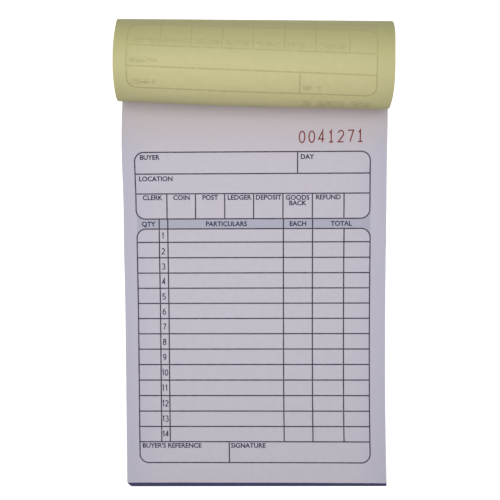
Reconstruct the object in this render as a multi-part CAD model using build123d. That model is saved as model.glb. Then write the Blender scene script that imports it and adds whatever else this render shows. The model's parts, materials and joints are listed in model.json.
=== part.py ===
# Duplicate receipt book, bound at the head and lying face up with its used copies turned over the head.
# +Y points to the head, +Z away from the table, and the origin is the middle of the footprint.
import os
from math import cos, radians, sin

from build123d import *

# Leaves: each set is a white form with a yellow copy under it
leaf_width = 104.8
leaf_length = 177.8
leaf_thick = 0.07
used_count = 15
unused_count = 34
stub_depth = 12.7

# Cards: the front cover is turned back with the copies, the back cover folds under the foot
front_card = 0.25
back_card = 0.4
foot_reach = 3.4
foot_snip = 1.7
shield_length = 78.0
shield_corner = 4.0

# Binding: cloth tape over the head, with two flat wire staples through it
tape_thick = 0.15
tape_lap = 11.0
wire_width = 0.7
wire_thick = 0.45
staple_crown = 12.7
staple_spread = 52.0
staple_inset = 6.0
clinch_gap = 3.0

# Roll of turned leaves, measured on the outside of the last copy turned
near_radius = 11.7
near_turn = 120
crown_radius = 16.7
crown_turn = 135
top_radius = 7.1
top_turn = 15

# Clearances
head_room = 3.3
tail_room = 0.25
rear_inner_radius = 0.8
lift_gap = 1.0

# Heights, from the table up to the page
set_thick = 2 * leaf_thick
turned_thick = used_count * set_thick + front_card
back_low = turned_thick + tail_room + wire_thick + tape_thick
block_low = back_low + back_card
page_set_low = block_low + unused_count * set_thick
page_top = page_set_low + set_thick
turned_top = page_top + turned_thick

# Places along the book, with the head's overhang holding the whole roll clear of the tape
roll_overhang = tape_thick + head_room + turned_thick
foot_y = (foot_reach - leaf_length - roll_overhang) / 2
head_y = foot_y + leaf_length
crown_start = radians(near_turn)
crown_end = radians(near_turn + crown_turn)
roll_end = radians(near_turn + crown_turn + top_turn)
roll_reach = (
    near_radius * -sin(crown_start)
    + crown_radius * (sin(crown_start) - sin(crown_end))
    + top_radius * (sin(crown_end) - sin(roll_end))
)
roll_rise = (
    near_radius * (1 - cos(crown_start))
    + crown_radius * (cos(crown_start) - cos(crown_end))
    + top_radius * (cos(crown_end) - cos(roll_end))
)
lay_run = roll_reach - roll_overhang
swing_y = head_y + roll_overhang
swing_z = page_top + roll_rise
rear_radius = turned_thick + rear_inner_radius
down_run = swing_z - rear_radius
lift_y = head_y - lay_run - near_radius - lift_gap
fold_radius = block_low / 2
fold_y = foot_y - foot_reach + fold_radius

roll_steps = [
    (lay_run, near_radius, near_turn),
    (0, crown_radius, crown_turn),
    (0, top_radius, top_turn),
]


# A flat sheet from one place along the book to another
def flat_sheet(y_low, y_high, z_low, thick):
    middle = Pos(0, (y_low + y_high) / 2, z_low + thick / 2)
    return middle * Box(leaf_width, y_high - y_low, thick)


# The line of a bent sheet, in steps of a straight run and a turn to the right, some way inside the outermost one
def bent_line(start, heading, steps, inset):
    here = Vector(start) + Vector(heading).rotate(Axis.Z, -90) * inset
    heading = Vector(heading)
    edges = []
    for run, radius, turn in steps:
        if run > 0:
            edges.append(Line(here, here + heading * run))
            here = edges[-1] @ 1
        if turn > 0:
            edges.append(JernArc(here, heading, radius - inset, -turn))
            here = edges[-1] @ 1
            heading = edges[-1] % 1
    return edges


# A sheet of even thickness along a bent line, across the width of the book
def bent_sheet(start, heading, steps, inset, thick):
    outer = bent_line(start, heading, steps, inset)
    inner = bent_line(start, heading, steps, inset + thick)
    ends = [Line(outer[0] @ 0, inner[0] @ 0), Line(outer[-1] @ 1, inner[-1] @ 1)]
    section = make_face(outer + inner + ends)
    return extrude(Plane.YZ * section, leaf_width / 2, both=True)


# The part of a turned sheet from the head edge round the roll to its top
def rolled_part(inset, thick):
    return bent_sheet((head_y, page_top), (-1, 0), roll_steps, inset, thick)


# The rest of that sheet, down behind the head and along the table, as long as the leaf leaves for it
def tail_part(inset, thick):
    middle = inset + thick / 2
    rolled = sum(run + (radius - middle) * radians(turn) for run, radius, turn in roll_steps)
    rear_turn = 90
    rear_bend = (rear_radius - middle) * radians(rear_turn)
    tail_run = leaf_length - rolled - down_run - rear_bend
    steps = [(down_run, rear_radius, rear_turn), (tail_run, 0, 0)]
    return bent_sheet((swing_y, swing_z), (0, -1), steps, inset, thick)


# Back cover under the leaves, and its fold round under the foot with one corner snipped
def back_cover():
    return flat_sheet(fold_y, head_y, back_low, back_card)


def foot_fold():
    ring = Circle(fold_radius) - Circle(fold_radius - back_card)
    outside = Pos(-fold_radius, 0) * Rectangle(2 * fold_radius, 2 * fold_radius)
    bend = extrude(Plane.YZ * (ring & outside), leaf_width / 2, both=True)
    snip = Polyline((0, 0), (foot_snip, 0), (0, foot_snip), close=True)
    corner = extrude(make_face(snip), block_low)
    return Pos(0, fold_y, fold_radius) * bend - Pos(-leaf_width / 2, foot_y - foot_reach, 0) * corner


def writing_shield():
    plate = flat_sheet(fold_y, fold_y + shield_length, 0, back_card)
    free_end = plate.edges().filter_by(Axis.Z).group_by(Axis.Y)[-1]
    return fillet(free_end, shield_corner)


# Tape from the front of the head, over its edge and under the back cover
def binding_tape():
    low = back_low - tape_thick
    high = turned_top + tape_thick
    tape_y = head_y - tape_lap
    wrap = Pos(0, (tape_y + head_y + tape_thick) / 2, (low + high) / 2)
    wrap *= Box(leaf_width, tape_lap + tape_thick, high - low)
    head = flat_sheet(tape_y, head_y, back_low, turned_top - back_low)
    return wrap - head


# A staple of flat wire, with its legs bent in behind the back cover
def staple(x):
    low = back_low - tape_thick - wire_thick
    high = turned_top + tape_thick + wire_thick
    middle = (low + high) / 2
    outside = RectangleRounded(staple_crown, high - low, wire_thick)
    inside = Rectangle(staple_crown - 2 * wire_thick, high - low - 2 * wire_thick)
    gap = Pos(0, -(high - low - wire_thick) / 2) * Rectangle(clinch_gap, wire_thick)
    wire = extrude(Plane.XZ * (outside - inside - gap), wire_width / 2, both=True)
    return Pos(x, head_y - staple_inset, middle) * wire


def stack(first_z, pitch, count, y_low, y_high):
    return [flat_sheet(y_low, y_high, first_z + place * pitch, leaf_thick) for place in range(count)]


nodes = {
    "back_cover": [back_cover()],
    "foot_fold": [foot_fold()],
    "writing_shield": [writing_shield()],
    "white_leaves": stack(block_low + leaf_thick, set_thick, unused_count, foot_y, head_y),
    "copy_leaves": stack(block_low, set_thick, unused_count, foot_y, head_y),
    "copy_leaf_head": [flat_sheet(lift_y, head_y, page_set_low, leaf_thick)],
    "copy_leaf": [flat_sheet(foot_y, lift_y, page_set_low, leaf_thick)],
    "form_leaf_head": [flat_sheet(lift_y, head_y, page_top - leaf_thick, leaf_thick)],
    "form_leaf": [flat_sheet(foot_y, lift_y, page_top - leaf_thick, leaf_thick)],
    "white_stubs": stack(page_top + leaf_thick, set_thick, used_count, head_y - stub_depth, head_y),
    "front_cover": [rolled_part(used_count * set_thick, front_card)],
    "front_cover_tail": [tail_part(used_count * set_thick, front_card)],
    "binding_tape": [binding_tape()],
    "staples": [staple(-staple_spread / 2), staple(staple_spread / 2)],
}
for place in range(used_count):
    number = used_count - place
    nodes[f"turned_copy_{number:02d}"] = [rolled_part(place * set_thick, leaf_thick)]
    nodes[f"turned_copy_{number:02d}_tail"] = [tail_part(place * set_thick, leaf_thick)]

os.makedirs("parts", exist_ok=True)
for name, solids in nodes.items():
    shape = solids[0] if len(solids) == 1 else Compound(children=solids)
    export_step(shape, f"parts/{name}.step")
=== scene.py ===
import json
import math
import random

import bpy
import numpy as np
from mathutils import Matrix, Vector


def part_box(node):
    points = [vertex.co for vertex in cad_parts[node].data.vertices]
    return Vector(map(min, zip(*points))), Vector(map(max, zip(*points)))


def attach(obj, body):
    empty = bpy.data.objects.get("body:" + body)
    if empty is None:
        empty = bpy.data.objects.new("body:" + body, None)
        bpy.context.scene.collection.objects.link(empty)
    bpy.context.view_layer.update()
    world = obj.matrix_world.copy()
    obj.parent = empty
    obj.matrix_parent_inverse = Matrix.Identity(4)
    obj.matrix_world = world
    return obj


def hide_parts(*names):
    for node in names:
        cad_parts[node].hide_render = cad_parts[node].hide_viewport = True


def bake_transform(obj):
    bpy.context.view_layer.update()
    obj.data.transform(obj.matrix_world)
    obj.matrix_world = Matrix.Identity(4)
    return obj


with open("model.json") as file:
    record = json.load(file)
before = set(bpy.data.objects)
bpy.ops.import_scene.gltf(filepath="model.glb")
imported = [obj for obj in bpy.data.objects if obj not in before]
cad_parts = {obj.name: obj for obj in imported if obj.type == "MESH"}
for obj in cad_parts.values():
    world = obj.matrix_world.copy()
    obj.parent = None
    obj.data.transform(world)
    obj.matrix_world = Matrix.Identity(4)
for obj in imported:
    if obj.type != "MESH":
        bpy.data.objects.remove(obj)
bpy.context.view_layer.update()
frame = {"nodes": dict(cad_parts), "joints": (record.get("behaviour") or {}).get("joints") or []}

scene = bpy.context.scene
mm = 0.001  # shapes are worked out in millimetres, meshes are in metres
uvSpan = 200.0  # millimetres of leaf in one unit of the leafPlace map
sharpAngle = 40  # degrees from which an edge is crisp
chance = random.Random(41)


def corners(node):
    low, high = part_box(node)
    return [value / mm for value in low], [value / mm for value in high]


hinge = {joint["name"]: [value / mm for value in joint["pos_m"]] for joint in frame["joints"]}
halfWidth = corners("form_leaf")[1][0]
footY = corners("form_leaf")[0][1]
headY = corners("form_leaf_head")[1][1]
leafLength = headY - footY
liftY = hinge["form_leaf_lift"][1]
pageTop = corners("form_leaf")[1][2]
leafThick = pageTop - corners("form_leaf")[0][2]
setThick = 2 * leafThick  # a form and its copy
print("frame read, leaf", round(2 * halfWidth, 1), "by", round(leafLength, 1), "mm")


# Shader sockets with plain arithmetic
class Value:
    def __init__(self, tree, socket=None):
        self.tree = tree
        self.socket = socket

    def node(self, kind, settings={}, inputs={}, output=0):
        made = self.tree.nodes.new("ShaderNode" + kind)
        for name, setting in settings.items():
            setattr(made, name, setting)
        for name, value in inputs.items():
            if isinstance(value, Value):
                self.tree.links.new(value.socket, made.inputs[name])
            else:
                made.inputs[name].default_value = value
        return Value(self.tree, made.outputs[output])

    def out(self, name):
        return Value(self.tree, self.socket.node.outputs[name])

    def math(self, operation, first, second=0.0):
        return self.node("Math", {"operation": operation}, {0: first, 1: second})

    def __add__(self, other):
        return self.math("ADD", self, other)

    def __sub__(self, other):
        return self.math("SUBTRACT", self, other)

    def __rsub__(self, other):
        return self.math("SUBTRACT", other, self)

    def __mul__(self, other):
        return self.math("MULTIPLY", self, other)

    def __pow__(self, other):
        return self.math("POWER", self, other)

    def __mod__(self, other):
        return self.math("FLOORED_MODULO", self, other)

    def __abs__(self):
        return self.math("ABSOLUTE", self)

    __radd__ = __add__
    __rmul__ = __mul__

    def least(self, other):
        return self.math("MINIMUM", self, other)

    def most(self, other):
        return self.math("MAXIMUM", self, other)

    def fade(self, low, high):
        inputs = {"Value": self, "From Min": low, "From Max": high}
        return self.node("MapRange", {"interpolation_type": "SMOOTHSTEP"}, inputs)

    def mix(self, first, second):
        return self.node("Mix", {"data_type": "RGBA"}, {0: self, 6: first, 7: second}, 2)

    def noise(self, place, scale, detail=3.0, rough=0.5):
        inputs = {"Vector": place, "Scale": scale, "Detail": detail, "Roughness": rough}
        return self.node("TexNoise", {}, inputs)

    def bump(self, strength, distance):
        return self.node("Bump", {}, {"Height": self, "Strength": strength, "Distance": distance})


# A colour as it looks on screen, in the shader's linear light
def paint(red, green, blue):
    shares = [value / 255 for value in (red, green, blue)]
    return [s / 12.92 if s < 0.04045 else ((s + 0.055) / 1.055) ** 2.4 for s in shares] + [1.0]


def finish(name, build, fixed):
    made = bpy.data.materials.new(name)
    made.use_nodes = True
    tree = made.node_tree
    shader = tree.nodes["Principled BSDF"]
    for socket, setting in fixed.items():
        shader.inputs[socket].default_value = setting
    for socket, value in build(Value(tree)).items():
        tree.links.new(value.socket, shader.inputs[socket])
    return made


# The printed form, in millimetres from the leaf's left and foot edges
form = {
    "upperSides": (5.02, 98.2), "upperBox": (107.1, 133.6),
    "tableSides": (5.3, 98.45), "tableBox": (8.25, 103.1), "corner": 3.65,
    "upperRows": (117.1, 125.0), "dayEdge": 69.5,
    "boxColumns": (17.35, 28.75, 40.4, 51.9, 63.6, 75.3, 87.9),
    "rowLow": 16.83, "rowPitch": 6.226, "rowCount": 14, "rowRoom": 1.0,
    "longColumns": (14.2, 17.63, 63.8, 75.45), "tableColumn": 88.0, "signEdge": 41.5,
    "line": 0.5, "dot": 0.3, "dotEdge": 0.25, "dotBase": 0.8, "dotDepth": 0.4,
}


def smallest(gaps):
    gap = gaps[0]
    for other in gaps[1:]:
        gap = gap.least(other)
    return gap


def nearest(value, places):
    return smallest([abs(value - place) for place in places])


def between(gap, value, low, high):
    return gap.most(low - value).most(value - high)


# How far a spot lies outside a rounded box of the form
def boxGap(x, y, sides, heights):
    corner = form["corner"]
    (left, right), (low, high) = sides, heights
    across = abs(x - (left + right) / 2) - ((right - left) / 2 - corner)
    along = abs(y - (low + high) / 2) - ((high - low) / 2 - corner)
    outside = (across.most(0.0) ** 2.0 + along.most(0.0) ** 2.0) ** 0.5
    return outside + across.most(along).least(0.0) - corner


# How strongly each spot is printed: the ruled lines, and the tinted heading band
def formPrint(value, blur):
    place = value.node("UVMap", {"uv_map": "leafPlace"})
    split = value.node("SeparateXYZ", {}, {0: place})
    x, y = split.out(0) * uvSpan, split.out(1) * uvSpan
    upperLow, upperHigh = form["upperBox"]
    tableLow, tableHigh = form["tableBox"]
    rowLow, pitch, room = form["rowLow"], form["rowPitch"], form["rowRoom"]
    rowHigh = rowLow + (form["rowCount"] - 1) * pitch
    upper = boxGap(x, y, form["upperSides"], form["upperBox"])
    table = boxGap(x, y, form["tableSides"], form["tableBox"])
    rows = abs((y - (rowLow - pitch / 2)) % pitch - pitch / 2)
    rows = between(rows, y, rowLow - room, rowHigh + room)
    gap = smallest([
        abs(upper),
        abs(table),
        between(nearest(y, form["upperRows"]), x, *form["upperSides"]),
        between(nearest(x, [form["dayEdge"]]), y, form["upperRows"][1], upperHigh),
        between(nearest(x, form["boxColumns"]), y, upperLow, form["upperRows"][0]),
        between(rows, x, *form["tableSides"]),
        between(nearest(x, form["longColumns"]), y, rowLow, upperLow),
        between(nearest(x, [form["tableColumn"]]), y, rowLow, tableHigh),
        between(nearest(x, [form["signEdge"]]), y, tableLow, rowLow),
    ])
    half = form["line"] / 2
    lines = 1 - gap.fade(half - blur, half + blur)
    tint = between((0 - upper).most(0 - table), x, *form["tableSides"])
    tint = between(tint, y, tableHigh - form["corner"], upperLow + form["corner"])
    turn = 2 * math.pi / form["dot"]
    dots = value.math("SINE", (x + y) * turn) * value.math("SINE", (x - y) * turn)
    dots = dots.fade(-form["dotEdge"], form["dotEdge"])
    band = (1 - tint.fade(-blur, blur)) * (form["dotBase"] + form["dotDepth"] * dots)
    return place, x, y, lines, band


# Smears where the words of the front show through the back of a copy. Boxes are left, right, low and high
ghost = {
    "boxes": (
        (6.5, 15.5, 130.0, 132.0), (6.0, 18.0, 121.8, 123.8), (70.5, 77.5, 130.0, 132.0),
        (7.0, 86.5, 113.8, 116.0), (71.0, 97.0, 137.0, 141.5),
    ),
    "stretch": (0.5, 1.4, 1.0), "dashes": (190.0, 2.0), "dashRun": (0.34, 0.62),
    "soft": 0.8, "clear": (0.3, 1.6),
}


def wordSmears(value, place, x, y):
    soft = ghost["soft"]
    gaps = [between((left - x).most(x - right), y, low, high) for left, right, low, high in ghost["boxes"]]
    stretched = value.node("Mapping", {}, {"Vector": place, "Scale": ghost["stretch"]})
    dashes = value.noise(stretched, *ghost["dashes"]).fade(*ghost["dashRun"])
    clear = nearest(x, form["boxColumns"]).fade(*ghost["clear"])
    return dashes * clear * (1 - smallest(gaps).fade(-soft, soft))


# Papers: colour, how the form prints or shows through, and painted shade towards the sides, under the roll
# near the head and over the roll's top
papers = {
    "formFront": {
        "colour": (199, 193, 205), "cloud": (196, 190, 202), "rough": 0.62,
        "ink": (8, 4, 40), "lines": 0.97, "worn": 0.1, "blur": 0.06,
        "band": (170, 169, 186), "bandShare": 0.85,
        # painted shade: the page's side margins darker, where the light falls off towards its edges
        "edge": (190, 186, 202), "edgeRun": 14.0,
        # painted shadow of the roll on the page near the head, warmed by painted yellow bounce light from
        # the roll
        "paintedShade": (189, 180, 183), "paintedShadeRun": (128.0, 153.0), "paintedShadeShare": 1.0,
    },
    "formPlain": {"colour": (201, 196, 206), "cloud": (196, 191, 201), "rough": 0.68},
    "copyFront": {
        "colour": (199, 191, 145), "cloud": (195, 187, 141), "rough": 0.6,
        "ink": (62, 64, 70), "lines": 0.85, "worn": 0.2, "blur": 0.06,
        "band": (172, 170, 134), "bandShare": 0.6,
    },
    "copyBack": {
        "colour": (203, 196, 147), "cloud": (199, 192, 142), "rough": 0.56,
        "ink": (142, 138, 92), "lines": 0.6, "worn": 0.6, "blur": 0.2,
        "band": (188, 181, 133), "bandShare": 0.4,
        # painted shade: the outer copy darker towards the ends of the roll
        "smears": 0.5, "faint": 0.35, "faintRun": (104.0, 134.0), "edge": (195, 190, 139), "edgeRun": 14.0,
        # painted shade over the top and far side of the roll, where it turns away from the lamp
        "paintedShade": (189, 188, 131), "paintedShadeRun": (128.0, 112.0), "paintedShadeShare": 0.6,
    },
    "copyPlain": {"colour": (197, 190, 143), "cloud": (191, 184, 136), "rough": 0.66},
}
paperGrain = {
    "cloud": (70.0, 4.0, 0.6), "cloudRun": (0.3, 0.7), "wear": (90.0, 2.0), "wearRun": (0.4, 0.75),
    "fibre": (420.0, 3.0, 0.7), "roughSpread": 0.12, "bump": (0.12, 0.00004),
}


def paper(name):
    look = papers[name]

    def build(value):
        if "ink" in look:
            place, x, y, lines, band = formPrint(value, look["blur"])
        else:
            place = value.node("UVMap", {"uv_map": "leafPlace"})
        cloud = value.noise(place, *paperGrain["cloud"]).fade(*paperGrain["cloudRun"])
        fibre = value.noise(place, *paperGrain["fibre"])
        colour = cloud.mix(paint(*look["colour"]), paint(*look["cloud"]))
        # painted shade: the colour darkens towards the left and right edges of the sheet
        if "edge" in look:
            inside = halfWidth - abs(x - halfWidth)
            colour = inside.fade(0.0, look["edgeRun"]).mix(paint(*look["edge"]), colour)
        # painted shade: a darker tone blended in along the leaf, for the roll's shadow on the page and the
        # shade over the roll's top
        if "paintedShade" in look:
            paintedShade = y.fade(*look["paintedShadeRun"]) * look["paintedShadeShare"]
            colour = paintedShade.mix(colour, paint(*look["paintedShade"]))
        if "ink" in look:
            worn = 1 - look["worn"] * value.noise(place, *paperGrain["wear"]).fade(*paperGrain["wearRun"])
            if "faint" in look:
                worn = worn * (look["faint"] + (1 - look["faint"]) * y.fade(*look["faintRun"]))
            colour = (band * look["bandShare"]).mix(colour, paint(*look["band"]))
            colour = (lines * worn * look["lines"]).mix(colour, paint(*look["ink"]))
        if "smears" in look:
            smears = wordSmears(value, place, x, y) * worn
            colour = (smears * look["smears"]).mix(colour, paint(*look["ink"]))
        rough = look["rough"] + paperGrain["roughSpread"] * fibre
        return {"Base Color": colour, "Roughness": rough, "Normal": fibre.bump(*paperGrain["bump"])}

    return finish(name, build, {"Specular IOR Level": 0.3})


# Card for the covers, with a paler core at its cut edges
cards = {
    "navyCard": {"colour": (47, 47, 86), "worn": (58, 58, 95), "rough": 0.5},
    "cardCore": {"colour": (120, 120, 140), "worn": (84, 84, 112), "rough": 0.75},
}
cardGrain = {
    "cloud": (60.0, 5.0, 0.6), "cloudRun": (0.35, 0.75), "cloudShare": 0.6,
    "scuff": (120.0, 2.0), "scuffRun": (0.6, 0.75), "scuffShare": 0.3,
    "scuffTurn": (0.0, 0.0, 0.6), "scuffStretch": (1.0, 9.0, 1.0),
    "grain": (2600.0, 3.0, 0.6), "roughSpread": 0.15, "bump": (0.15, 0.00005),
}


def card(name):
    look = cards[name]

    def build(value):
        place = value.node("TexCoord", output="Object")
        turned = {"Vector": place, "Rotation": cardGrain["scuffTurn"], "Scale": cardGrain["scuffStretch"]}
        cloud = value.noise(place, *cardGrain["cloud"]).fade(*cardGrain["cloudRun"])
        grain = value.noise(place, *cardGrain["grain"])
        stretched = value.node("Mapping", {}, turned)
        scuff = value.noise(stretched, *cardGrain["scuff"]).fade(*cardGrain["scuffRun"])
        share = cloud * cardGrain["cloudShare"] + scuff * cardGrain["scuffShare"]
        colour = share.mix(paint(*look["colour"]), paint(*look["worn"]))
        rough = look["rough"] + cardGrain["roughSpread"] * grain
        return {"Base Color": colour, "Roughness": rough, "Normal": grain.bump(*cardGrain["bump"])}

    return finish(name, build, {"Specular IOR Level": 0.4})


cloth = {
    "colour": (44, 44, 68), "thread": (66, 66, 92), "pitch": 0.42, "weaveShare": 0.7,
    "fuzz": (500.0, 3.0), "fuzzShare": 0.3, "rough": 0.8, "roughSpread": 0.1, "bump": (0.5, 0.00012),
}


def bindingCloth(value):
    place = value.node("UVMap", {"uv_map": "leafPlace"})
    split = value.node("SeparateXYZ", {}, {0: place})
    turn = 2 * math.pi * uvSpan / cloth["pitch"]
    over = value.math("SINE", split.out(0) * turn)
    under = value.math("SINE", split.out(1) * turn)
    weave = (over * under) * 0.5 + 0.5  # from 0 to 1
    fuzz = value.noise(place, *cloth["fuzz"])
    share = weave * cloth["weaveShare"] + fuzz * cloth["fuzzShare"]
    colour = share.mix(paint(*cloth["colour"]), paint(*cloth["thread"]))
    rough = cloth["rough"] + cloth["roughSpread"] * fuzz
    return {"Base Color": colour, "Roughness": rough, "Normal": weave.bump(*cloth["bump"])}


wire = {
    "colour": (190, 190, 192), "dull": (150, 150, 154),
    "spots": (900.0, 3.0), "spotRun": (0.45, 0.75), "spotShare": 0.5,
    "drawn": (5000.0, 3.0), "drawnStretch": (0.04, 1.0, 1.0), "drawnShare": 0.3,
    "rough": 0.28, "drawnRough": 0.2, "spotRough": 0.15, "bump": (0.2, 0.00003),
}


def stapleWire(value):
    place = value.node("TexCoord", output="Object")
    stretched = value.node("Mapping", {}, {"Vector": place, "Scale": wire["drawnStretch"]})
    drawn = value.noise(stretched, *wire["drawn"])
    spots = value.noise(place, *wire["spots"]).fade(*wire["spotRun"])
    share = spots * wire["spotShare"] + drawn * wire["drawnShare"]
    colour = share.mix(paint(*wire["colour"]), paint(*wire["dull"]))
    rough = wire["rough"] + wire["drawnRough"] * drawn + wire["spotRough"] * spots
    return {"Base Color": colour, "Roughness": rough, "Normal": drawn.bump(*wire["bump"])}


inks = {
    "printInk": {"colour": (9, 5, 42), "faded": (34, 30, 70), "rough": 0.55},
    "numberInk": {"colour": (108, 26, 16), "faded": (134, 52, 38), "rough": 0.5},
}
inkGrain = {"patches": (1800.0, 3.0, 0.65), "patchRun": (0.4, 0.75), "roughSpread": 0.2}


def ink(name):
    look = inks[name]

    def build(value):
        place = value.node("TexCoord", output="Object")
        patches = value.noise(place, *inkGrain["patches"])
        colour = patches.fade(*inkGrain["patchRun"]).mix(paint(*look["colour"]), paint(*look["faded"]))
        return {"Base Color": colour, "Roughness": look["rough"] + inkGrain["roughSpread"] * patches}

    return finish(name, build, {"Specular IOR Level": 0.25})


formFront, formPlain = paper("formFront"), paper("formPlain")
copyFront, copyBack, copyPlain = paper("copyFront"), paper("copyBack"), paper("copyPlain")
navyCard, cardCore = card("navyCard"), card("cardCore")
tapeCloth = finish("tapeCloth", bindingCloth, {"Specular IOR Level": 0.2, "Sheen Weight": 0.15})
brightWire = finish("brightWire", stapleWire, {"Metallic": 1.0})
printInk, numberInk = ink("printInk"), ink("numberInk")

# Front, back and cut edge of each kind of sheet
formPapers = [formFront, formPlain, formPlain]
copyPapers = [copyFront, copyBack, copyPlain]
boards = [navyCard, navyCard, cardCore]
print("finishes made")


# Collects closed thin sheets, each a grid of front points and back points, into one mesh
class Sheets:
    def __init__(self):
        self.points, self.places, self.faces, self.kinds = [], [], [], []

    def add(self, front, back, place, kinds=(0, 1, 2)):
        rows, columns = front.shape[:2]
        start = sum(len(block) for block in self.points)
        here = start + np.arange(rows * columns).reshape(rows, columns)
        there = here + rows * columns
        self.points += [front.reshape(-1, 3), back.reshape(-1, 3)]
        self.places += [place.reshape(-1, 2)] * 2
        for side, kind in ((here, kinds[0]), (there[:, ::-1], kinds[1])):
            ring = (side[:-1, :-1], side[1:, :-1], side[1:, 1:], side[:-1, 1:])
            quads = np.stack(ring, -1).reshape(-1, 4)
            self.faces += quads.tolist()
            self.kinds += [kind] * len(quads)
        rims = (
            (here[0], there[0]), (here[::-1, 0], there[::-1, 0]),
            (here[-1, ::-1], there[-1, ::-1]), (here[:, -1], there[:, -1]),
        )
        for near, far in rims:
            quads = np.stack([near[:-1], near[1:], far[1:], far[:-1]], -1)
            self.faces += quads.tolist()
            self.kinds += [kinds[2]] * len(quads)

    def piece(self, name, materials):
        mesh = bpy.data.meshes.new(name)
        mesh.from_pydata((np.concatenate(self.points) * mm).tolist(), [], self.faces)
        for material in materials:
            mesh.materials.append(material)
        mesh.polygons.foreach_set("material_index", self.kinds)
        corner = np.zeros(len(mesh.loops), np.int32)
        mesh.loops.foreach_get("vertex_index", corner)
        places = np.concatenate(self.places)[corner] / uvSpan
        spread = mesh.uv_layers.new(name="leafPlace")
        spread.data.foreach_set("uv", places.astype(np.float32).ravel())
        mesh.shade_smooth()
        mesh.set_sharp_from_angle(angle=math.radians(sharpAngle))
        made = bpy.data.objects.new(name, mesh)
        scene.collection.objects.link(made)
        return made


# Places along one or more runs, each of a start, an end and a count of steps
def steps(*runs):
    places = [np.linspace(low, high, count + 1)[:-1] for low, high, count in runs]
    return np.concatenate(places + [[runs[-1][1]]])


def grid(alongs, columns):
    return np.meshgrid(alongs, columns, indexing="ij")


# Where a spot x across and s from the head lies on the printed form
def leafPlace(x, s):
    return np.stack([x + halfWidth, leafLength - s], -1)


def below(points, depth):
    return points - np.array([0, 0, depth])


# A bow is its size, and where along the leaf it starts and ends
def bow(shape, s):
    size, low, high = shape
    return size * np.sin(math.pi * np.clip((s - low) / (high - low), 0.0, 1.0)) ** 2


# Page in use: lies almost flat, with a breath of lift towards the free foot
page = {
    "footLift": 0.32, "cornerLift": 0.4, "arch": (0.5, 15.0, 107.0), "bound": 40.0,
    "ripple": 0.05, "rippleAcross": 2.1, "rippleAlong": 5.0, "rippleMiddle": 0.4,
    "leftTrim": 0.44, "leftBow": (-0.7, 14.0, 68.0), "leftDraw": (-0.22, 40.0, 112.0),
    "rightBow": (0.32, -4.0, 56.0), "rightPinch": (-0.25, 50.0, 170.0), "flare": 0.65, "flareRun": 40.0,
    "sag": (0.48, 80.0, 161.0), "twist": 0.0022, "level": 93.0,
    "gap": 0.006, "copyShift": -0.04, "copyShare": 0.9, "bend": 6.0, "copyBend": 8.0,
    "columns": 24, "headRows": 12, "footRows": 45, "fineBefore": 8, "fineAfter": 10, "copyFineAfter": 2,
}
thin = leafThick - page["gap"]


def pageWave(x, s):
    free = np.clip((s - page["bound"]) / (leafLength - page["bound"]), 0.0, 1.0)
    side = x / halfWidth
    lift = page["footLift"] * free ** 3 + page["cornerLift"] * free ** 6 * np.abs(side) ** 3
    wave = 1 + np.sin(page["rippleAcross"] * side + page["rippleAlong"] * free)
    ripple = page["ripple"] * free * wave * (page["rippleMiddle"] + np.abs(side))
    return lift + ripple + bow(page["arch"], s)


# Where a spot of the leaf lies: the sides aren't quite straight, nor the rows quite evenly spread
def pagePlace(x, s):
    side = x / halfWidth
    left = page["leftTrim"] + bow(page["leftBow"], s) + bow(page["leftDraw"], s)
    flare = page["flare"] * np.clip((s - leafLength) / page["flareRun"] + 1, 0.0, 1.0) ** 2
    right = bow(page["rightBow"], s) + bow(page["rightPinch"], s) + flare
    twist = page["twist"] * (s - page["level"]) * np.clip(s / page["bound"], 0.0, 1.0)
    across = x + left * (1 - side) / 2 + right * (1 + side) / 2
    return across, headY - s + bow(page["sag"], s) - twist * side


def flatLeaf(name, materials, alongs, columns, top, share):
    s, x = grid(alongs, columns)
    front = np.stack([*pagePlace(x, s), top + share * pageWave(x, s)], -1)
    sheets = Sheets()
    sheets.add(front, below(front, thin), leafPlace(x, s))
    return sheets.piece(name, materials)


columns = np.linspace(-halfWidth, halfWidth, page["columns"] + 1)
bendStart, bendMiddle, bendEnd = [
    (0, (liftY - past) * mm, pageTop * mm) for past in (0, page["bend"], page["bend"] + page["copyBend"])
]
headRun = headY - liftY + page["bend"]  # from the head to where the form leaf starts
fineStart, fineEnd = headRun - page["fineBefore"], headRun + page["fineAfter"]
copyFineEnd = headRun + page["copyFineAfter"]
headSteps = (0, fineStart, page["headRows"])

alongs = steps(headSteps, (fineStart, headRun, page["fineBefore"]))
formLeafHead = flatLeaf("formLeafHead", formPapers, alongs, columns, pageTop, 1.0)
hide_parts("form_leaf_head")
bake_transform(formLeafHead)

alongs = steps((headRun, fineEnd, page["fineAfter"]), (fineEnd, leafLength, page["footRows"]))
formLeaf = flatLeaf("formLeaf", formPapers, alongs, columns, pageTop, 1.0)
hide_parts("form_leaf")
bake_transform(formLeaf)

fineSteps = (fineStart, copyFineEnd, page["fineBefore"] + page["copyFineAfter"])
alongs = steps(headSteps, fineSteps, (copyFineEnd, leafLength, page["footRows"]))
shifted = columns + page["copyShift"]
copyTop = pageTop - leafThick
copyLeaf = flatLeaf("copyLeaf", copyPapers, alongs, shifted, copyTop, page["copyShare"])
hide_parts("copy_leaf", "copy_leaf_head")
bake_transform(copyLeaf)
print("page in use made")

# Unused sets under the page: every leaf a little out of line with the next
block = {"shift": 0.12, "turn": 0.0006, "count": 34, "rows": 18, "columns": 2}


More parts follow.
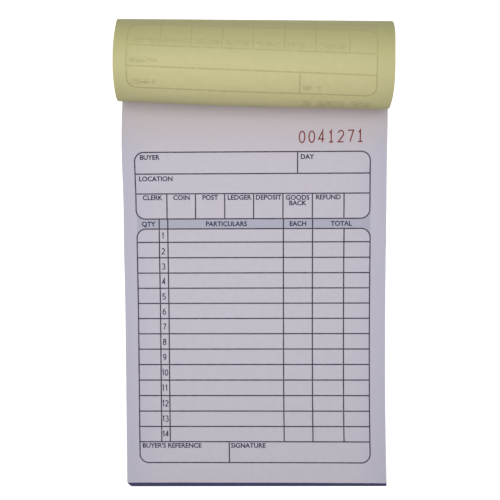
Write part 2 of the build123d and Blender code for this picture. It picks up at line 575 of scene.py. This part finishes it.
def looseLeaves(name, node, materials, low):
    alongs = np.linspace(0, leafLength, block["rows"] + 1)
    s, x = grid(alongs, np.linspace(-halfWidth, halfWidth, block["columns"] + 1))
    across, along = pagePlace(x, s)
    sheets = Sheets()
    for number in range(block["count"]):
        dx, dy = chance.uniform(-1, 1) * block["shift"], chance.uniform(-1, 1) * block["shift"]
        turn = chance.uniform(-1, 1) * block["turn"]
        z = np.full_like(x, low + number * setThick + thin)
        front = np.stack([across + turn * s + dx * s / leafLength, along + turn * x + dy, z], -1)
        isTop = number == block["count"] - 1
        sheets.add(front, below(front, thin), leafPlace(x, s), (0 if isTop else 2, 1, 2))
    made = sheets.piece(name, materials)
    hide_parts(node)
    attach(made, "pad")


blockLow = corners("copy_leaves")[0][2]
looseLeaves("unusedForms", "white_leaves", formPapers, blockLow + leafThick)
looseLeaves("unusedCopies", "copy_leaves", copyPapers, blockLow)
nextTop = corners("white_leaves")[1][2] - page["gap"]
print("unused sets made")

# Roll of turned leaves: the line that the last copy follows, from the head edge round and down to the table
roll = {
    "nearRadius": 11.7, "nearTurn": 120, "crownRadius": 16.7, "crownTurn": 135,
    "topRadius": 7.1, "topTurn": 15, "rearInside": 0.8, "copies": 15, "cover": 0.25,
    "nearTaper": -0.06, "crownTaper": 0.033, "slant": 0.48,
    "swell": (0.16, 16.0, 78.0), "waves": ((0.061, 0.11, 0.6), (0.043, -0.05, 0.0)),
    "nose": (-0.4, 0.4), "noseRun": (-1.05, -0.25), "noseEnd": 0.93, "noseSpan": (14.0, 54.0),
    "leftPinch": (0.15, 12.0, 50.0), "leftDraw": (0.3, 50.0, 78.0), "rightPinch": (-0.7, 16.0, 50.0),
    "shift": 0.5, "shiftRun": (60.0, 74.0), "skew": 0.0022, "bend": 12.0, "bendClear": 0.05,
    "spacing": 0.8, "columns": 27, "innerSpacing": 1.5, "innerColumns": 9,
}
swingY = hinge["turned_tails_swing"][1]
turnedThick = roll["copies"] * setThick + roll["cover"]
rearRadius = turnedThick + roll["rearInside"]


# Runs and arcs of that line at a place across the book, each a run, a radius and a turn
def rollSteps(x):
    side = x / halfWidth
    near = roll["nearRadius"] * (1 + roll["nearTaper"] * side)
    crown = roll["crownRadius"] * (1 + roll["crownTaper"] * side)
    top = roll["topRadius"] * (1 + roll["crownTaper"] * side)
    arcs, angle, reach, rise = [], 0.0, 0.0, 0.0
    for radius, turn in ((near, roll["nearTurn"]), (crown, roll["crownTurn"]), (top, roll["topTurn"])):
        following = angle + math.radians(turn)
        reach += radius * (math.sin(angle) - math.sin(following))
        rise += radius * (math.cos(angle) - math.cos(following))
        arcs.append((0.0, radius, math.radians(turn)))
        angle = following
    lay = reach - (swingY - headY - roll["slant"] * side)
    drop = pageTop + rise - rearRadius
    tail = [(drop, 0.0, 0.0), (0.0, rearRadius, math.pi / 2), (leafLength, 0.0, 0.0)]
    return [(lay, 0.0, 0.0)] + arcs + tail


def ease(value, low, high):
    share = np.clip((value - low) / (high - low), 0.0, 1.0)
    return share ** 2 * (3 - 2 * share)


# Departure from the even roll: long waves, and a nose that leans forward but for its left end
def swell(x, s):
    waves = math.prod(math.sin(across * x + along * s + start) for across, along, start in roll["waves"])
    side, (drawnIn, forward) = x / halfWidth, roll["nose"]
    nose = drawnIn + (forward - drawnIn) * ease(side, *roll["noseRun"])
    nose *= 1 - ease(side, roll["noseEnd"], 1.0)
    return bow(roll["swell"], s) * waves + bow((nose, *roll["noseSpan"]), s)


# A point of a turned sheet at x across and s along its own length, that far inside the last copy
def rollPoint(x, s, inset, middle):
    y, z, angle, left = headY, pageTop, 0.0, s
    for run, radius, turn in rollSteps(x):
        if turn:
            part = min(left / (radius - middle), turn)
            y -= radius * (math.sin(angle + part) - math.sin(angle))
            z += radius * (math.cos(angle) - math.cos(angle + part))
            angle += part
            left -= part * (radius - middle)
        else:
            part = min(left, run)
            y -= part * math.cos(angle)
            z += part * math.sin(angle)
            left -= part
    inward = inset - swell(x, s)
    return x, y + inward * math.sin(angle), z + inward * math.cos(angle)


# The turned leaves draw in a little where they leave the page, and lie out of line behind the roll
def rollSide(x, s):
    side = x / halfWidth
    left = bow(roll["leftPinch"], s) + bow(roll["leftDraw"], s)
    pinch = left * (1 - side) / 2 + bow(roll["rightPinch"], s) * (1 + side) / 2
    return pinch + roll["shift"] * ease(s, *roll["shiftRun"])


# How much of a sheet is in the roll: it comes to its top, and the tail hangs from there
def rolledLength(x, middle):
    return sum(run + (radius - middle) * turn for run, radius, turn in rollSteps(x)[:4])


def turnedGrid(isTail, spacing, columns, inset, thick, skew):
    middle = inset + thick / 2
    rolled = np.array([rolledLength(x, middle) for x in columns])
    first, last = (rolled, leafLength) if isTail else (0.0, rolled)
    count = int((leafLength - rolled.mean() if isTail else rolled.mean()) / spacing)
    share, x = grid(np.linspace(0, 1, count + 1), columns)
    s = first + share * (last - first)
    places = [list(zip(*row)) for row in zip(x, s)]
    front = np.array([[rollPoint(*spot, inset + thick, middle) for spot in row] for row in places])
    back = np.array([[rollPoint(*spot, inset, middle) for spot in row] for row in places])
    for points in (front, back):
        points[:, :, 0] += skew * s + rollSide(x, s)
    return front, back, leafPlace(x, s)


def turnedSheet(name, node, materials, inset, thick, skew=0.0, isOutermost=False):
    noseEnd = roll["noseEnd"] * halfWidth
    count = roll["columns"] if isOutermost else roll["innerColumns"]
    spacing = roll["spacing"] if isOutermost else roll["innerSpacing"]
    across = steps((-halfWidth, noseEnd, count), (noseEnd, halfWidth, 1))
    for isTail in (False, True):
        sheets = Sheets()
        front, back, place = turnedGrid(isTail, spacing, across, inset, thick, skew)
        sheets.add(front, back, place)
        made = sheets.piece(name + ("Tail" if isTail else ""), materials)
        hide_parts(node + ("_tail" if isTail else ""))
        if isTail:
            start = min(front[0, :, 2].min(), back[0, :, 2].min()) - roll["bendClear"]
            swingStart, swingEnd = [(0, swingY * mm, z * mm) for z in (start, start - roll["bend"])]
            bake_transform(made)
        else:
            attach(made, "pad")


for number in range(1, roll["copies"] + 1):
    isOutermost = number == roll["copies"]
    skew = 0.0 if isOutermost else chance.uniform(-1, 1) * roll["skew"]
    inset = (roll["copies"] - number) * setThick
    materials = copyPapers if isOutermost else [copyPlain] * 3
    name, node = f"turnedCopy{number:02d}", f"turned_copy_{number:02d}"
    turnedSheet(name, node, materials, inset, leafThick, skew, isOutermost)
turnedSheet("frontCover", "front_cover", boards, turnedThick - roll["cover"], roll["cover"])
print("roll made")

# Stubs that the torn-off forms left, each with its row of torn bridges
stub = {"pitch": 1.27, "tear": 0.28, "root": 11.5}
stubLow = corners("white_stubs")[0]
teeth = int(2 * halfWidth / stub["pitch"]) * 2
x = np.tile(np.linspace(-halfWidth, halfWidth, teeth + 1), (3, 1))
sheets = Sheets()
for number in range(roll["copies"]):
    torn = [stub["tear"] * chance.random() if tooth % 2 else 0.0 for tooth in range(teeth + 1)]
    depths = headY - stubLow[1] - np.array(torn)
    s = np.stack([np.zeros(teeth + 1), np.full(teeth + 1, stub["root"]), depths])
    front = np.stack([x, headY - s, np.full_like(x, stubLow[2] + number * setThick + thin)], -1)
    sheets.add(front, below(front, thin), leafPlace(x, s))
stubs = sheets.piece("formStubs", [formPlain] * 3)
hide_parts("white_stubs")
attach(stubs, "pad")
print("stubs made")

# Back cover, its fold round the foot and the shield under the book
fold = {
    "snip": 1.55, "corner": 4.0, "flare": 1.35, "flareRun": 60.0, "proud": 0.16, "bendEnd": 0.2,
    "columns": 8, "coverRows": 40, "foldRows": 24, "shieldRows": 20, "cornerRows": 10,
}
foldY, foldRadius = hinge["shield_fold"][1:]
coverLow, coverHigh = corners("back_cover")
coverCard = coverHigh[2] - coverLow[2]
cardShares = np.linspace(0, 1, fold["columns"] + 1)


# The card is cut a little askew: its right edge drifts out towards the foot
def cardAcross(share, y, inset=0.0):
    flare = fold["flare"] * np.clip(1 - (y - foldY) / fold["flareRun"], 0, 1) ** 2
    left, right = inset - halfWidth, halfWidth + flare - inset
    return left + share * (right - left)


y, share = grid(steps((headY, foldY, fold["coverRows"])), cardShares)
x = cardAcross(share, y)
front = np.stack([x, y, np.full_like(x, coverHigh[2])], -1)
sheets = Sheets()
sheets.add(front, below(front, coverCard), leafPlace(x, headY - y))
backCover = sheets.piece("backCover", boards)
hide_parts("back_cover")
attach(backCover, "pad")

turn, share = grid(np.linspace(0, math.pi, fold["foldRows"] + 1), cardShares)


def foldRing(radius):
    snip = np.clip(fold["snip"] - foldRadius * (1 - np.sin(turn)), 0, None)
    left = snip - halfWidth
    x = left + share * (halfWidth + fold["flare"] - left)
    y = foldY - (radius + fold["proud"]) * np.sin(turn)
    return np.stack([x, y, foldRadius + radius * np.cos(turn)], -1)


front = foldRing(foldRadius)
sheets = Sheets()
place = leafPlace(front[:, :, 0], headY - foldY + turn * foldRadius)
sheets.add(front, foldRing(foldRadius - coverCard), place)
footFold = sheets.piece("footFold", boards)
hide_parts("foot_fold")
foldStart, foldEnd = [(0, foldY * mm, z * mm) for z in (2 * foldRadius, fold["bendEnd"])]
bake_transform(footFold)

shieldEnd = corners("writing_shield")[1][1]
cornerY = shieldEnd - fold["corner"]
alongs = steps((foldY, cornerY, fold["shieldRows"]), (cornerY, shieldEnd, fold["cornerRows"]))
y, share = grid(alongs, cardShares)
inCorner = np.clip((y - cornerY) / fold["corner"], 0, 1)
x = cardAcross(share, y, fold["corner"] * (1 - np.sqrt(1 - inCorner ** 2)))
front = np.stack([x, y, np.zeros_like(x)], -1)
sheets = Sheets()
sheets.add(front, below(front, -coverCard), leafPlace(x, y - foldY))
shield = sheets.piece("writingShield", boards)
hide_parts("writing_shield")
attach(shield, "shield")
print("covers made")

# Cloth tape over the head
tape = {"inside": 0.05, "bendSteps": 6, "runSteps": 6, "columns": 14}
tapeLow, tapeHigh = corners("binding_tape")
tapeThick = tapeHigh[1] - headY
middleY = headY - tape["inside"]
upperZ, lowerZ = tapeHigh[2] - tapeThick - tape["inside"], tapeLow[2] + tapeThick + tape["inside"]
tapeRun = middleY - tapeLow[1]


# The tape's line from its front end over the head edge to its back end, at a radius from the bends' middles
def tapeLine(radius):
    runs = np.linspace(0, 1, tape["runSteps"])
    points = [(tapeLow[1] + tapeRun * part, upperZ + radius) for part in runs[:-1]]
    for middleZ, first in ((upperZ, 0.0), (lowerZ, math.pi / 2)):
        for turn in np.linspace(first, first + math.pi / 2, tape["bendSteps"]):
            points.append((middleY + radius * math.sin(turn), middleZ + radius * math.cos(turn)))
    points += [(middleY - tapeRun * part, lowerZ - radius) for part in runs[1:]]
    return np.array(points)


def tapeSide(line, across):
    y, x = grid(line[:, 0], across)
    z, x = grid(line[:, 1], across)
    return np.stack([x, y, z], -1)


outside, inside = tapeLine(tape["inside"] + tapeThick), tapeLine(tape["inside"])
along = np.concatenate([[0.0], np.cumsum(np.linalg.norm(np.diff(outside, axis=0), axis=1))])
across = np.linspace(halfWidth, -halfWidth, tape["columns"] + 1)
s, x = grid(along, across)
sheets = Sheets()
sheets.add(tapeSide(outside, across), tapeSide(inside, across), np.stack([x + halfWidth, s], -1))
bindingTape = sheets.piece("bindingTape", [tapeCloth] * 3)
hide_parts("binding_tape")
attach(bindingTape, "pad")

frame["nodes"]["staples"].data.materials.clear()
frame["nodes"]["staples"].data.materials.append(brightWire)
print("binding made")

# Words of the form, and their thickness and lift as raised print
words = {
    "height": 1.8, "capShare": 0.682, "weight": 0.07, "rounds": 3,
    "thick": 0.008, "lift": 0.012, "copyLift": 0.3,
}
# Text, place from the leaf's left and foot edges, and where it is held
labels = [
    ("BUYER", 7.0, 130.7, "LEFT"), ("DAY", 70.6, 130.7, "LEFT"), ("LOCATION", 6.4, 122.2, "LEFT"),
    ("CLERK", 11.6, 114.7, "CENTER"), ("COIN", 23.2, 114.7, "CENTER"), ("POST", 34.6, 114.7, "CENTER"),
    ("LEDGER", 46.2, 114.7, "CENTER"), ("DEPOSIT", 57.8, 114.7, "CENTER"), ("GOODS", 69.4, 114.6, "CENTER"),
    ("BACK", 69.4, 112.4, "CENTER"), ("REFUND", 81.6, 114.7, "CENTER"),
    ("QTY", 9.9, 104.2, "CENTER"), ("PARTICULARS", 41.0, 104.2, "CENTER"), ("EACH", 69.6, 104.2, "CENTER"),
    ("TOTAL", 86.9, 104.2, "CENTER"),
    ("BUYER'S REFERENCE", 6.3, 14.4, "LEFT"), ("SIGNATURE", 42.2, 14.4, "LEFT"),
]


def labelShapes():
    points, faces = [], []
    for text, x, y, held in labels:
        curve = bpy.data.curves.new("word", "FONT")
        curve.body, curve.align_x, curve.resolution_u = text, held, words["rounds"]
        curve.size = words["height"] / words["capShare"]
        curve.extrude, curve.offset = words["thick"] / 2, words["weight"]
        carrier = bpy.data.objects.new("word", curve)
        mesh = bpy.data.meshes.new_from_object(carrier)
        first = len(points)
        points += [(x + point.co.x, y + point.co.y, point.co.z) for point in mesh.vertices]
        faces += [[first + corner for corner in face.vertices] for face in mesh.polygons]
        bpy.data.objects.remove(carrier)
        bpy.data.curves.remove(curve)
        bpy.data.meshes.remove(mesh)
    return points, faces


def joined(*parts):
    points, faces = [], []
    for morePoints, moreFaces in parts:
        faces += [[len(points) + corner for corner in face] for face in moreFaces]
        points += morePoints
    return points, faces


# Numbers are drawn in thin strokes, each digit in a box one wide and one high
serial = {
    "number": 41271, "digits": 7, "left": 70.1, "low": 137.1, "slant": 0.0145,
    "pitch": 3.82, "width": 2.2, "height": 4.5, "stroke": 0.5, "foot": True,
}
rowMark = {
    "middle": 15.72, "low": 2.1, "rise": 6.18, "slant": 0.0,
    "pitch": 1.3, "width": 1.12, "height": 2.25, "stroke": 0.36, "foot": False,
}
arcPoints = 17


def arc(middle, radii, start, end):
    (x, y), (wide, high) = middle, radii
    turns = np.radians(np.linspace(start, end, arcPoints))
    return [(x + wide * math.cos(turn), y + high * math.sin(turn)) for turn in turns]


hook = arc((0.9, 0.33), (0.88, 0.67), 95, 178) + arc((0.5, 0.32), (0.48, 0.32), 178, 538)
digitStrokes = {
    "0": [arc((0.5, 0.5), (0.5, 0.5), 90, 450)],
    "1": [[(0.2, 0.8), (0.5, 1.0), (0.5, 0.0)], [(0.1, 0.0), (0.9, 0.0)]],
    "2": [arc((0.5, 0.7), (0.46, 0.3), 165, -25) + [(0.02, 0.0), (1.0, 0.0)]],
    "3": [arc((0.46, 0.74), (0.44, 0.26), 150, -85), arc((0.46, 0.25), (0.52, 0.25), 85, -150)],
    "4": [[(1.0, 0.28), (0.0, 0.28), (0.7, 1.0), (0.7, 0.0)]],
    "5": [[(0.94, 1.0), (0.14, 1.0), (0.06, 0.5)], arc((0.46, 0.31), (0.52, 0.31), 130, -150)],
    "6": [hook],
    "7": [[(0.0, 1.0), (1.0, 1.0), (0.4, 0.0)]],
    "8": [arc((0.5, 0.75), (0.4, 0.25), -90, 270), arc((0.5, 0.25), (0.5, 0.25), 90, 450)],
    "9": [[(1 - x, 1 - y) for x, y in hook]],
}


# A flat ribbon with mitred corners along a line, as a closed thin solid
def ribbon(line, width, thick):
    line = np.array(line)
    runs = np.diff(line, axis=0)
    runs /= np.linalg.norm(runs, axis=1)[:, None]
    turned = np.vstack([runs[:1], runs]) + np.vstack([runs, runs[-1:]])
    side = np.stack([-turned[:, 1], turned[:, 0]], -1) * width / (turned ** 2).sum(1)[:, None]
    loop = [(line + side, thick), (line - side, thick), (line - side, 0.0), (line + side, 0.0)]
    points = [(x, y, z) for places, z in loop for x, y in places]
    count = len(line)
    rings = [[place + turn * count for turn in range(4)] for place in range(count)]
    faces = [rings[0], rings[-1][::-1]]
    for ring, following in zip(rings, rings[1:]):
        for turn in range(4):
            far = (turn + 1) % 4
            faces.append([ring[turn], following[turn], following[far], ring[far]])
    return points, faces


def numberShapes(text, left, low, style):
    parts = []
    for place, digit in enumerate(text):
        footless = digit == "1" and not style["foot"]
        for stroke in digitStrokes[digit][:1 if footless else None]:
            line = [(place * style["pitch"] + u * style["width"], v * style["height"]) for u, v in stroke]
            sloped = [(left + u, low + v + style["slant"] * u) for u, v in line]
            parts.append(ribbon(sloped, style["stroke"], words["thick"]))
    return joined(*parts)


def serialShapes(number):
    return numberShapes(f"{number:0{serial['digits']}d}", serial["left"], serial["low"], serial)


def rowShapes(row):
    text = str(row)
    left = rowMark["middle"] - ((len(text) - 1) * rowMark["pitch"] + rowMark["width"]) / 2
    low = form["rowLow"] + rowMark["low"] + (form["rowCount"] - row) * rowMark["rise"]
    return numberShapes(text, left, low, rowMark)


def printPiece(name, drawn, surface, material):
    points, faces = drawn
    mesh = bpy.data.meshes.new(name)
    placed = [surface(x - halfWidth, leafLength - y, words["lift"] + z) for x, y, z in points]
    mesh.from_pydata((np.array(placed) * mm).tolist(), [], faces)
    mesh.materials.append(material)
    made = bpy.data.objects.new(name, mesh)
    scene.collection.objects.link(made)
    return made


def onForm(x, s, lift):
    return *pagePlace(x, s), pageTop + pageWave(x, s) + lift


def onCopy(x, s, lift):
    top = copyTop + page["copyShare"] * pageWave(x, s)
    return *pagePlace(x + page["copyShift"], s), top + lift * words["copyLift"]


def onNext(x, s, lift):
    return *pagePlace(x, s), nextTop + lift


wordShapes = joined(labelShapes(), *[rowShapes(row) for row in range(1, form["rowCount"] + 1)])
printed = (
    ("form", "white_form", onForm, serial["number"], ("copy_leaf", "form_leaf"), (bendMiddle, bendEnd)),
    ("copy", "yellow_copy", onCopy, serial["number"], ("pad", "copy_leaf"), (bendStart, bendMiddle)),
    ("next", "white_form", onNext, serial["number"] + 1, ("pad",), ()),
)
for name, slot, surface, number, bodies, bend in printed:
    prints = ((wordShapes, "Words", printInk), (serialShapes(number), "Number", numberInk))
    for drawn, kind, material in prints:
        made = printPiece(name + kind, drawn, surface, material)
        if bend:
            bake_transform(made)
        else:
            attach(made, *bodies)
print("print made")

# Floor and light, in metres and degrees, with the floor's drop in millimetres
stage = {
    "size": 6.0, "drop": 0.05, "white": 0.75, "pale": 0.8, "ambient": 0.12,
    "lampPower": 0.556, "lampSize": 0.42, "lampSpread": 80, "lampPlace": (-0.015, 0.02, 0.43),
}
white = (1.0, 1.0, 1.0, 1.0)
reach, low = stage["size"] / 2, -stage["drop"] * mm
floorCorners = [(-reach, -reach, low), (reach, -reach, low), (reach, reach, low), (-reach, reach, low)]
floorMesh = bpy.data.meshes.new("floor")
floorMesh.from_pydata(floorCorners, [], [(0, 1, 2, 3)])
floor = bpy.data.objects.new("floor", floorMesh)
scene.collection.objects.link(floor)


# What the camera sees, straight or in a reflection
def seenShare(value):
    path = value.node("LightPath")
    return path.out("Is Camera Ray").most(path.out("Is Glossy Ray")).most(path.out("Is Transmission Ray"))


def paleFloor(value):
    matt = value.node("BsdfDiffuse", {}, {"Color": [stage["pale"]] * 3 + [1.0]})
    glow = value.node("Emission", {}, {"Color": white, "Strength": seenShare(value) * stage["white"]})
    return value.node("AddShader", {}, {0: matt, 1: glow})


floorLook = bpy.data.materials.new("paleFloor")
floorLook.use_nodes = True
floorTree = floorLook.node_tree
floorTree.nodes.remove(floorTree.nodes["Principled BSDF"])
floorOutput = floorTree.nodes["Material Output"]
floorTree.links.new(paleFloor(Value(floorTree)).socket, floorOutput.inputs["Surface"])
floorMesh.materials.append(floorLook)

world = bpy.data.worlds.new("softRoom")
world.use_nodes = True
scene.world = world
sky = world.node_tree.nodes["Background"]
sky.inputs["Color"].default_value = white
skyLight = stage["ambient"] + seenShare(Value(world.node_tree)) * (1 - stage["ambient"])
world.node_tree.links.new(skyLight.socket, sky.inputs["Strength"])

lamp = bpy.data.lights.new("softbox", "AREA")
lamp.shape, lamp.size, lamp.energy = "SQUARE", stage["lampSize"], stage["lampPower"]
lamp.spread = math.radians(stage["lampSpread"])
softbox = bpy.data.objects.new("softbox", lamp)
softbox.location = stage["lampPlace"]
scene.collection.objects.link(softbox)

# Camera: place and sensor in millimetres, turn in radians, focal length in pixels of that frame
view = {
    "place": (1.84, 37.47, 440.0), "turn": (-0.07632, 0.00863, -0.00273),
    "focal": 1084.36, "frame": 500, "sensor": 36.0,
}
lens = bpy.data.cameras.new("camera")
lens.sensor_width = view["sensor"]
lens.lens = view["focal"] * view["sensor"] / view["frame"]
lens.clip_start = 0.01  # metres
camera = bpy.data.objects.new("camera", lens)
camera.location = [value * mm for value in view["place"]]
camera.rotation_mode = "ZYX"
camera.rotation_euler = view["turn"]
scene.collection.objects.link(camera)
scene.camera = camera
scene.view_settings.view_transform = "Standard"
print("stage set")
